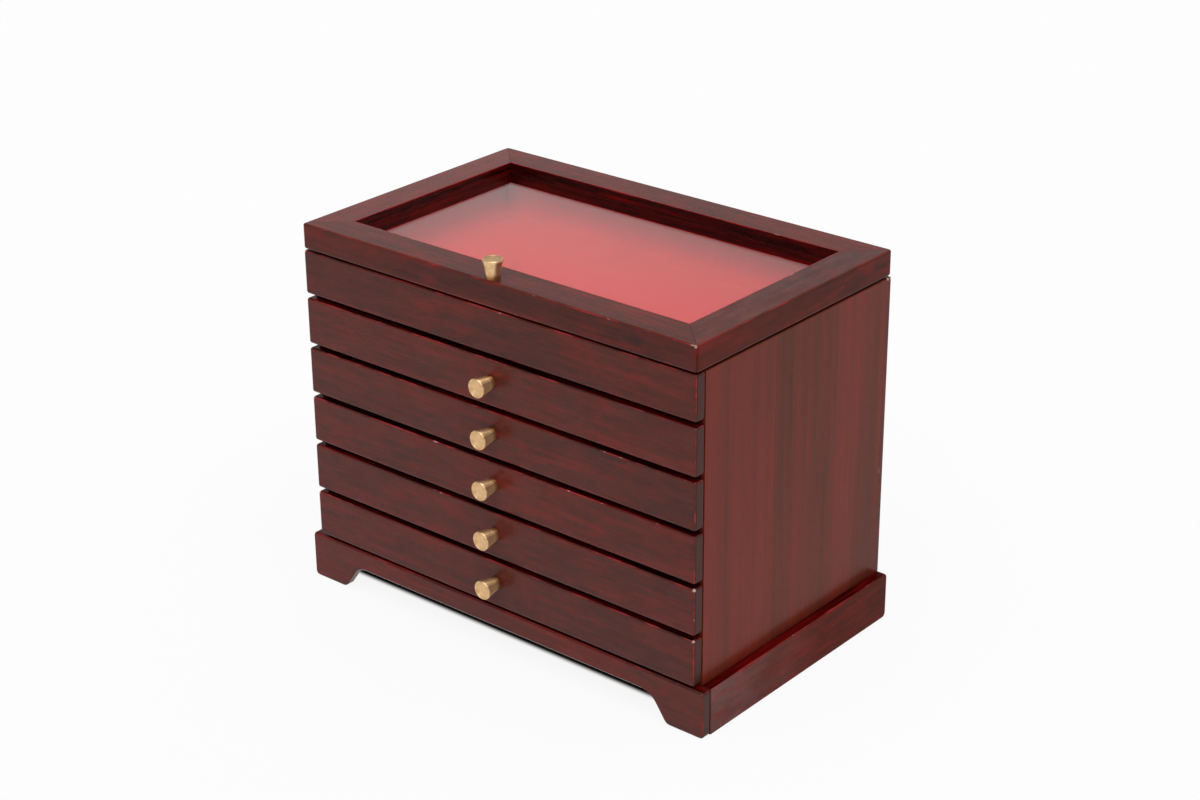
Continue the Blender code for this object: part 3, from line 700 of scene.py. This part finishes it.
def brass(name, rings=0.0):
    """Satin brass. rings is how strongly the lathe's marks draw its mirror out, from 0 to 1."""
    finish, wire = new_finish(name)
    place = wire.node("ShaderNodeTexCoord", output="Object")
    film = wire.node("ShaderNodeTexNoise", inputs={"Vector": place, "Scale": 260.0, "Detail": 2.0})
    scratches = wire.node("ShaderNodeTexNoise", inputs={"Vector": place, "Scale": 2400.0, "Detail": 2.0})
    colour = blended(film.rise(0.40, 0.68), BRASS, BRASS_FILM)
    inputs = {"Metallic": 1.0, "Roughness": 0.24 + 0.10 * film}
    if rings:
        # Tarnish and painted shade at the root of the neck, where it meets the wood.
        root_tarnish_and_shade = 1 - place.parts()[Z].rise(*TARNISH_AND_SHADE_REACH)
        colour = blended(root_tarnish_and_shade * 0.9, colour, TARNISH_AND_SHADE)
        inputs["Roughness"] = 0.38 + 0.08 * film
        inputs["Anisotropic"] = rings
        inputs["Anisotropic Rotation"] = QUARTER_TURN
    inputs["Base Color"] = colour
    inputs["Normal"] = wire.node("ShaderNodeBump", inputs={"Distance": SCRATCH_DEPTH, "Height": scratches})
    surface(wire, wire.node("ShaderNodeBsdfPrincipled", inputs=inputs))
    return finish


turned_brass = brass("turned brass", rings=0.92)
worn_brass = brass("worn turned brass", rings=0.45)
rolled_brass = brass("rolled brass")
for side in ("left", "right"):
    for part in ("case_leaf", "lid_leaf", "pin"):
        dress(f"hinge_{side}_{part}", rolled_brass)
print("brass on", [n for n in nodes if n.startswith("hinge")])

# %% [markdown]
# ## Turned knobs
# Each knob is nearly a cone off a lathe: a neck that widens in a slight curve to a flat head, with a
# rounded rim and a face turned very slightly hollow. A lathe is also the way to model it: list the outline
# as radius and height, then spin it. A Screw modifier would do that, but plain code lets the face carry its
# shallow tool rings as real shape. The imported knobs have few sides, so these stand in for them in the same
# place.

# %% Spin an outline
SPUN_SHARP_DEG = 35


def add_piece(name, mesh, body, finish, place=Matrix()):
    """Links a mesh as a piece that rides on a body, with the given finish."""
    piece = bpy.data.objects.new(name, mesh)
    scene.collection.objects.link(piece)
    piece.matrix_world = place
    mesh.materials.clear()
    mesh.materials.append(finish)
    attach(piece, body)
    return piece


def spun(name, outline, sides):
    """A closed solid of revolution about +Z. The outline starts and ends on the axis."""
    shape = bmesh.new()
    first = shape.verts.new((0, 0, outline[0][1]))
    last = shape.verts.new((0, 0, outline[-1][1]))
    angles = [2 * pi * step / sides for step in range(sides)]
    rings = [[shape.verts.new((r * cos(a), r * sin(a), h)) for a in angles] for r, h in outline[1:-1]]
    for step in range(sides):
        after = (step + 1) % sides
        shape.faces.new((first, rings[0][after], rings[0][step]))
        shape.faces.new((last, rings[-1][step], rings[-1][after]))
        for lower, upper in zip(rings, rings[1:]):
            shape.faces.new((lower[step], lower[after], upper[after], upper[step]))
    bmesh.ops.recalc_face_normals(shape, faces=shape.faces)
    mesh = bpy.data.meshes.new(name)
    shape.to_mesh(mesh)
    shape.free()
    mesh.shade_smooth()
    mesh.set_sharp_from_angle(angle=radians(SPUN_SHARP_DEG))
    return mesh


print("outlines are spun, with edges sharp from", SPUN_SHARP_DEG, "degrees")

# %% Turn the knobs
KNOB_HEAD = 0.0060
KNOB_NECK = 0.0043
KNOB_RIM = 0.0006
KNOB_DISH = 0.0003
KNOB_FLARE = 1.6
RING_DEPTH = 0.00004
RIM_TURN_DEG = 110
FLARE_STEPS = 24
RIM_STEPS = 8
FACE_STEPS = 22
KNOB_SIDES = 72


def knob_outline(length):
    """Radius and height, from the middle of the neck's foot to the middle of the face."""
    flare_top = length - 2 * KNOB_RIM
    outline = [(0, 0), (KNOB_NECK, 0)]
    for step in range(1, FLARE_STEPS + 1):
        up = step / FLARE_STEPS
        outline.append((KNOB_NECK + (KNOB_HEAD - KNOB_NECK) * up**KNOB_FLARE, flare_top * up))
    for step in range(RIM_STEPS + 1):
        turn = radians(RIM_TURN_DEG * step / RIM_STEPS)
        outline.append((KNOB_HEAD - KNOB_RIM * (1 - cos(turn)), length - KNOB_RIM * (1 - sin(turn))))
    face_radius = KNOB_HEAD - 2 * KNOB_RIM
    for step in range(FACE_STEPS):
        inward = 1 - step / FACE_STEPS
        ring = RING_DEPTH * (step % 2)
        outline.append((face_radius * inward, length - KNOB_DISH * (1 - 0.2 * inward) - ring))
    outline.append((0, length - KNOB_DISH))
    return outline


def knob_on(carrier, knob, body, outward, finish):
    """Seats a knob on its carrier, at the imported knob's place. outward is the axis it points along."""
    carrier_low, carrier_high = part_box(carrier)
    low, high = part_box(knob)
    seat = (low + high) / 2
    if outward == Z:
        seat.z = carrier_high.z
        length = high.z - seat.z
        turn = Matrix()
    else:
        seat.y = carrier_low.y
        length = seat.y - low.y
        turn = turned_by(90, "X")
    mesh = spun(f"{knob}_turned", knob_outline(length), KNOB_SIDES)
    piece = add_piece(f"{knob}_turned", mesh, body, finish, Matrix.Translation(seat) @ turn)
    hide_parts(knob)
    return length


length = knob_on("lid_rail_front", "lid_knob", "lid", Z, worn_brass)
for number in DRAWERS:
    knob_on(f"drawer_{number}_front", f"drawer_{number}_knob", f"drawer_{number}", Y, turned_brass)
print("six knobs, the lid's", round(length / MM, 2), "mm long")

# %% [markdown]
# ## Screws and pins
# The leaves of the hinges are screwed down, a screw through each drawer front holds its knob, and thin pins
# hold the back panel. They are small, but they are what someone sees who opens the lid or looks behind.
# A screw head is a spun dome with its slot cut by a Boolean modifier, and copies of one mesh are gathered
# into one piece for each body.

# %% Slotted heads
HEAD_SIDES = 32
DOME_STEPS = 6


def slotted_head(name, radius, height, slot_width, slot_depth):
    """A shallow dome with a straight slot, its underside on the floor of its own frame."""
    outline = [(0, 0), (radius, 0)]
    for step in range(DOME_STEPS + 1):
        turn = radians(90 * step / DOME_STEPS)
        outline.append((radius * (0.78 + 0.22 * cos(turn)), height * (0.4 + 0.45 * sin(turn))))
    outline += [(radius * 0.4, height * 0.96), (0, height)]
    head = bpy.data.objects.new(name, spun(name, outline, HEAD_SIDES))
    cutter_mesh = bpy.data.meshes.new("slot cutter")
    shape = bmesh.new()
    size = Matrix.Diagonal((3 * radius, slot_width, 2 * slot_depth, 1))
    bmesh.ops.create_cube(shape, size=1, matrix=Matrix.Translation((0, 0, height)) @ size)
    shape.to_mesh(cutter_mesh)
    shape.free()
    cutter = bpy.data.objects.new("slot cutter", cutter_mesh)
    for thing in (head, cutter):
        scene.collection.objects.link(thing)
    cut = head.modifiers.new("slot", "BOOLEAN")
    cut.object = cutter
    cut.solver = "EXACT"
    bpy.context.view_layer.update()
    mesh = bpy.data.meshes.new_from_object(head.evaluated_get(bpy.context.evaluated_depsgraph_get()))
    for thing in (head, cutter):
        bpy.data.objects.remove(thing)
    return mesh


def gathered(name, mesh, places):
    """Copies of a mesh at several places, as one mesh."""
    shape = bmesh.new()
    for place in places:
        copy = mesh.copy()
        copy.transform(place)
        shape.from_mesh(copy)
        bpy.data.meshes.remove(copy)
    joined = bpy.data.meshes.new(name)
    shape.to_mesh(joined)
    shape.free()
    return joined


print("screw heads have", HEAD_SIDES, "sides")

# %% Hinge screws
SCREW_SPACING = 0.0054
SCREW_INSET = 0.0036
SCREW_SUNK = 0.00016
SLOT_TURNS = ((-1, 25), (1, -40))
LEAVES = [
    # leaf, body, what it is screwed to, which face of that: 0 low or 1 high, turn of the head
    ("case_leaf", "case", "tray_back_board", 1, 0),
    ("lid_leaf", "lid", "lid_rail_back", 0, 180),
]
leaf_head = slotted_head("leaf screw", radius=0.0015, height=0.0003, slot_width=0.0004, slot_depth=0.0002)
for leaf, body, carrier, face, flip in LEAVES:
    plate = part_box(carrier)[face].z
    sunk = SCREW_SUNK if face else -SCREW_SUNK
    places = []
    for side in ("left", "right"):
        low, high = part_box(f"hinge_{side}_{leaf}")
        middle = (low.x + high.x) / 2
        for step, slot_turn in SLOT_TURNS:
            spot = Vector((middle + step * SCREW_SPACING, low.y + SCREW_INSET, plate - sunk))
            places.append(Matrix.Translation(spot) @ turned_by(flip, "X") @ turned_by(slot_turn, "Z"))
    mesh = gathered(f"{leaf} screws", leaf_head, places)
    add_piece(f"hinge_{leaf}_screws", mesh, body, rolled_brass)
print("leaf screws", len(leaf_head.polygons), "faces each")

# %% Knob screws
SLOT_TURN_DEG = 17
knob_head = slotted_head("knob screw", radius=0.0030, height=0.0013, slot_width=0.0007, slot_depth=0.0006)
for number in DRAWERS:
    knob_low, knob_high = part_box(f"drawer_{number}_knob")
    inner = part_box(f"drawer_{number}_front")[1].y
    spot = Vector((0, inner, (knob_low.z + knob_high.z) / 2))
    place = Matrix.Translation(spot) @ turned_by(-90, "X") @ turned_by(SLOT_TURN_DEG * number, "Z")
    mesh = gathered(f"drawer_{number} knob screw", knob_head, [place])
    add_piece(f"drawer_{number}_knob_screw", mesh, f"drawer_{number}", rolled_brass)
print("knob screws", len(knob_head.polygons), "faces each")

# %% Back pins
PIN_OUTLINE = [(0, 0), (0.0009, 0), (0.0008, 0.00008), (0.0004, 0.00014), (0, 0.00016)]
PIN_SIDES = 16
PIN_INSET = 0.0036
PINS_IN_ROW = 5
LOWEST_PIN = 0.030
PIN_RISE = 0.0445
FIRST_TOP_PIN = 0.03
TOP_PIN_STEP = 0.06
TOP_PIN_DROP = 0.0125
pin_mesh = spun("pin", PIN_OUTLINE, PIN_SIDES)
panel_low, panel_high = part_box("case_back_panel")
outer = [panel_low.x + PIN_INSET, panel_high.x - PIN_INSET]
heights = [panel_low.z + LOWEST_PIN + step * PIN_RISE for step in range(PINS_IN_ROW)]
spots = [(x, z) for x in outer for z in heights]
top = panel_high.z - TOP_PIN_DROP
spots += [(panel_low.x + FIRST_TOP_PIN + step * TOP_PIN_STEP, top) for step in range(PINS_IN_ROW)]
places = [Matrix.Translation((x, panel_high.y, z)) @ turned_by(-90, "X") for x, z in spots]
add_piece("back_panel_pins", gathered("back pins", pin_mesh, places), "case", rolled_brass)
print(len(places), "back pins")

# %% [markdown]
# ## Glass
# The pane is ordinary sheet glass about 2 mm thick. Seen this low it mirrors the pale room, which is what
# turns the red felt under it pink. Real refraction would stop most of the lamp's light from being found by
# the renderer, so shadow and diffuse rays pass straight through a clear shader with glass's small loss.
# Faint smears in the roughness keep the mirror from looking computed.

# %% Finish the pane
GLASS_TINT = (0.985, 0.992, 0.988, 1)
CLEAR_TINT = (0.983, 0.987, 0.985, 1)
GLASS_IOR = 1.48
pane_finish, wire = new_finish("clear sheet glass")
place = wire.node("ShaderNodeTexCoord", output="Object")
smears = wire.node("ShaderNodeTexNoise", inputs={"Vector": place, "Scale": 24.0, "Detail": 4.0})
inputs = {
    "Base Color": GLASS_TINT,
    "Roughness": 0.06 * smears.rise(0.52, 0.75),
    "IOR": GLASS_IOR,
    "Transmission Weight": 1.0,
}
glass = wire.node("ShaderNodeBsdfPrincipled", inputs=inputs)
clear = wire.node("ShaderNodeBsdfTransparent", inputs={"Color": CLEAR_TINT})
straight = wire.node("ShaderNodeLightPath", output="Is Shadow Ray")
straight = straight.most(wire.node("ShaderNodeLightPath", output="Is Diffuse Ray"))
surface(wire, wire.node("ShaderNodeMixShader", inputs={0: straight, 1: glass, 2: clear}))
dress("lid_glass", pane_finish)

# %% [markdown]
# ## Felt
# Red felt is glued to the tray's floor and round its walls, and the drawers are lined with the same cloth.
# Felt is a mat of short fibres: no weave, a soft bloom at grazing angles, and slightly uneven where it was
# pressed down. It could be a plain thin box, but its edge would look like card. Here it is a closed sheet
# whose upper face swells and dips by a tenth of a millimetre and rolls down at the edge, with fibre noise
# on colour and bump and a constant sheen.

# %% Felt finish
FELT_DEEP = (0.73, 0.029, 0.027)
FELT_BRIGHT = (0.82, 0.043, 0.040)
FELT_PRESSED = (0.615, 0.023, 0.022)
FELT_SHEEN = (1.0, 0.25, 0.22, 1)
FIBRE_DEPTH = 0.0003
felt_finish, wire = new_finish("red felt")
place = wire.node("ShaderNodeTexCoord", output="Object")
mat = wire.node("ShaderNodeTexNoise", inputs={"Vector": place, "Scale": 1500.0, "Detail": 4.0})
fuzz = wire.node("ShaderNodeTexNoise", inputs={"Vector": place, "Scale": 420.0, "Detail": 3.0})
pressed = wire.node("ShaderNodeTexNoise", inputs={"Vector": place, "Scale": 21.0, "Detail": 3.0})
colour = blended((mat * 0.6 + fuzz * 0.4).rise(0.34, 0.66), FELT_DEEP, FELT_BRIGHT)
colour = blended(pressed.rise(0.58, 0.76) * 0.4, colour, FELT_PRESSED)
fibre = {"Strength": 0.6, "Distance": FIBRE_DEPTH, "Height": mat + fuzz * 0.6}
bump = wire.node("ShaderNodeBump", inputs=fibre)
inputs = {
    "Base Color": colour,
    "Roughness": 0.9 + 0.1 * fuzz,
    "Specular IOR Level": 0.15,
    "Sheen Weight": 0.15,
    "Sheen Roughness": 0.5,
    "Sheen Tint": FELT_SHEEN,
    "Normal": bump,
}
surface(wire, wire.node("ShaderNodeBsdfPrincipled", inputs=inputs))
print("felt finish of", len(felt_finish.node_tree.nodes), "nodes")

# %% Flat sheets of felt
FELT_THICK = 0.0012
FELT_STEP = 0.004
FELT_SHARP_DEG = 60
EDGE_SHARE = 0.45
PILE_SHARE = 0.86
PILE_SWELL = 0.13
SWELLS_PER_METRE = 45


def closed_sheet(name, backing, pile):
    """A closed mesh between two grids of points, each a list of rows."""
    rows, columns = len(backing), len(backing[0])
    shape = bmesh.new()
    layers = [[shape.verts.new(point) for row in grid for point in row] for grid in (backing, pile)]
    for layer in layers:
        for j in range(rows - 1):
            for k in range(j * columns, (j + 1) * columns - 1):
                shape.faces.new((layer[k], layer[k + 1], layer[k + columns + 1], layer[k + columns]))
    rim = list(range(columns)) + [j * columns + columns - 1 for j in range(1, rows)]
    rim += [(rows - 1) * columns + i for i in range(columns - 2, -1, -1)]
    rim += [j * columns for j in range(rows - 2, 0, -1)]
    for a, b in zip(rim, rim[1:] + rim[:1]):
        shape.faces.new((layers[0][a], layers[0][b], layers[1][b], layers[1][a]))
    bmesh.ops.recalc_face_normals(shape, faces=shape.faces)
    mesh = bpy.data.meshes.new(name)
    shape.to_mesh(mesh)
    shape.free()
    mesh.shade_smooth()
    mesh.set_sharp_from_angle(angle=radians(FELT_SHARP_DEG))
    return mesh


def pile_height(point, at_edge):
    """How thick the felt is at a point: softly uneven, and rolled down at its edge."""
    swell = PILE_SWELL * noise.noise(point * SWELLS_PER_METRE)
    return FELT_THICK * (EDGE_SHARE if at_edge else PILE_SHARE + swell)


def lay_felt(name, low, high, body):
    """A flat sheet on the floor of a tray or a drawer."""
    columns = round((high.x - low.x) / FELT_STEP)
    rows = round((high.y - low.y) / FELT_STEP)
    backing, pile = [], []
    for j in range(rows + 1):
        y = low.y + (high.y - low.y) * j / rows
        line = [Vector((low.x + (high.x - low.x) * i / columns, y, low.z)) for i in range(columns + 1)]
        ends = [i in (0, columns) or j in (0, rows) for i in range(columns + 1)]
        backing.append(line)
        pile.append([point + Vector((0, 0, pile_height(point, end))) for point, end in zip(line, ends)])
    piece = add_piece(name, closed_sheet(name, backing, pile), body, felt_finish)
    flat = (high.x - low.x, high.y - low.y)
    return piece, flat


print("felt", round(FELT_THICK / MM, 1), "mm thick")

# %% [markdown]
# ## Felt up the walls
# Thick cloth doesn't fold sharply when it is pressed into a corner: the strips on the tray's walls turn out
# over the floor in a wide cove. A cloth simulation could find that curve, but a quarter round is close to
# it and stays the same each time. So each strip is a row of points and normals, drawn along its wall. Rows
# that stand further out are shorter at both ends, and so the strips meet in mitres.

# %% Strips of felt up the walls
WALL_EASE = 0.0001
WALL_FELT = 0.0180
COVE = 0.0160
TAIL = 0.0040
TAIL_DIP = 0.0002
WALL_SHARE = 0.93
TAIL_SHARE = 0.10
STRAIGHT_STEPS = 4
COVE_STEPS = 14


def cove_section():
    """The lining's section, from its top edge down the wall and out over the floor: points and normals."""
    straight = WALL_FELT - COVE
    heights = [WALL_FELT - straight * step / STRAIGHT_STEPS for step in range(STRAIGHT_STEPS)]
    section = [((0, height), (1, 0)) for height in heights]
    for step in range(COVE_STEPS + 1):
        turn = radians(180 + 90 * step / COVE_STEPS)
        section.append(((COVE + COVE * cos(turn), COVE + COVE * sin(turn)), (-cos(turn), -sin(turn))))
    return section + [((COVE + TAIL, -TAIL_DIP), (0, 1))]


def line_wall(name, corner, run, turn_deg):
    """A strip of felt up a wall, from a corner of the tray on the way given. Its ends are mitred."""
    section = cove_section()
    shares = [EDGE_SHARE] + [WALL_SHARE] * (len(section) - 2) + [TAIL_SHARE]
    columns = round(run / FELT_STEP)
    backing, pile = [], []
    for share, ((out, up), (lean, rise)) in zip(shares, section):
        thick = FELT_THICK * share
        for grid, more in ((backing, 0), (pile, thick)):
            y, z = out + lean * more, up + rise * more
            first, last = y + WALL_EASE / 2, run - y - WALL_EASE / 2
            grid.append([Vector((first + (last - first) * i / columns, -y, z)) for i in range(columns + 1)])
    mesh = closed_sheet(name, backing, pile)
    mesh.transform(Matrix.Translation(corner) @ turned_by(turn_deg, "Z"))
    piece = add_piece(name, mesh, "case", felt_finish)
    flat = (run, WALL_FELT - COVE + COVE * pi / 2 + TAIL)
    return flat


print("walls lined", round(WALL_FELT / MM, 1), "mm high")

# %% Lay the felt in the tray
low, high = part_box("tray_lining")
tray_felt, flat = lay_felt("tray_felt", low, high, "case")
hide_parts("tray_lining")
print("tray felt cut to", [round(v / MM, 1) for v in flat], "mm")

foot = high.z + WALL_EASE / 2
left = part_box("case_side_left")[1].x + WALL_EASE
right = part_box("case_side_right")[0].x - WALL_EASE
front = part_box("tray_front_board")[1].y + WALL_EASE
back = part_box("tray_back_board")[0].y - WALL_EASE
across, along = right - left, back - front
line_wall("tray_wall_felt_back", (left, back, foot), across, 0)
line_wall("tray_wall_felt_front", (right, front, foot), across, 180)
line_wall("tray_wall_felt_left", (left, front, foot), along, 90)
flat = line_wall("tray_wall_felt_right", (right, back, foot), along, -90)
print("wall felt cut to", [round(v / MM, 1) for v in (across, *flat)], "mm")

# %% Lay the felt in the drawers
FELT_EASE = 0.0003
for number in DRAWERS:
    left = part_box(f"drawer_{number}_side_left")[1].x
    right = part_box(f"drawer_{number}_side_right")[0].x
    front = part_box(f"drawer_{number}_side_left")[0].y
    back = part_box(f"drawer_{number}_back")[0].y
    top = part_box(f"drawer_{number}_bottom")[1].z
    low = Vector((left + FELT_EASE, front + FELT_EASE, top))
    high = Vector((right - FELT_EASE, back - FELT_EASE, top + FELT_THICK))
    _, flat = lay_felt(f"drawer_{number}_felt", low, high, f"drawer_{number}")
print("drawer felt cut to", [round(v / MM, 1) for v in flat], "mm")
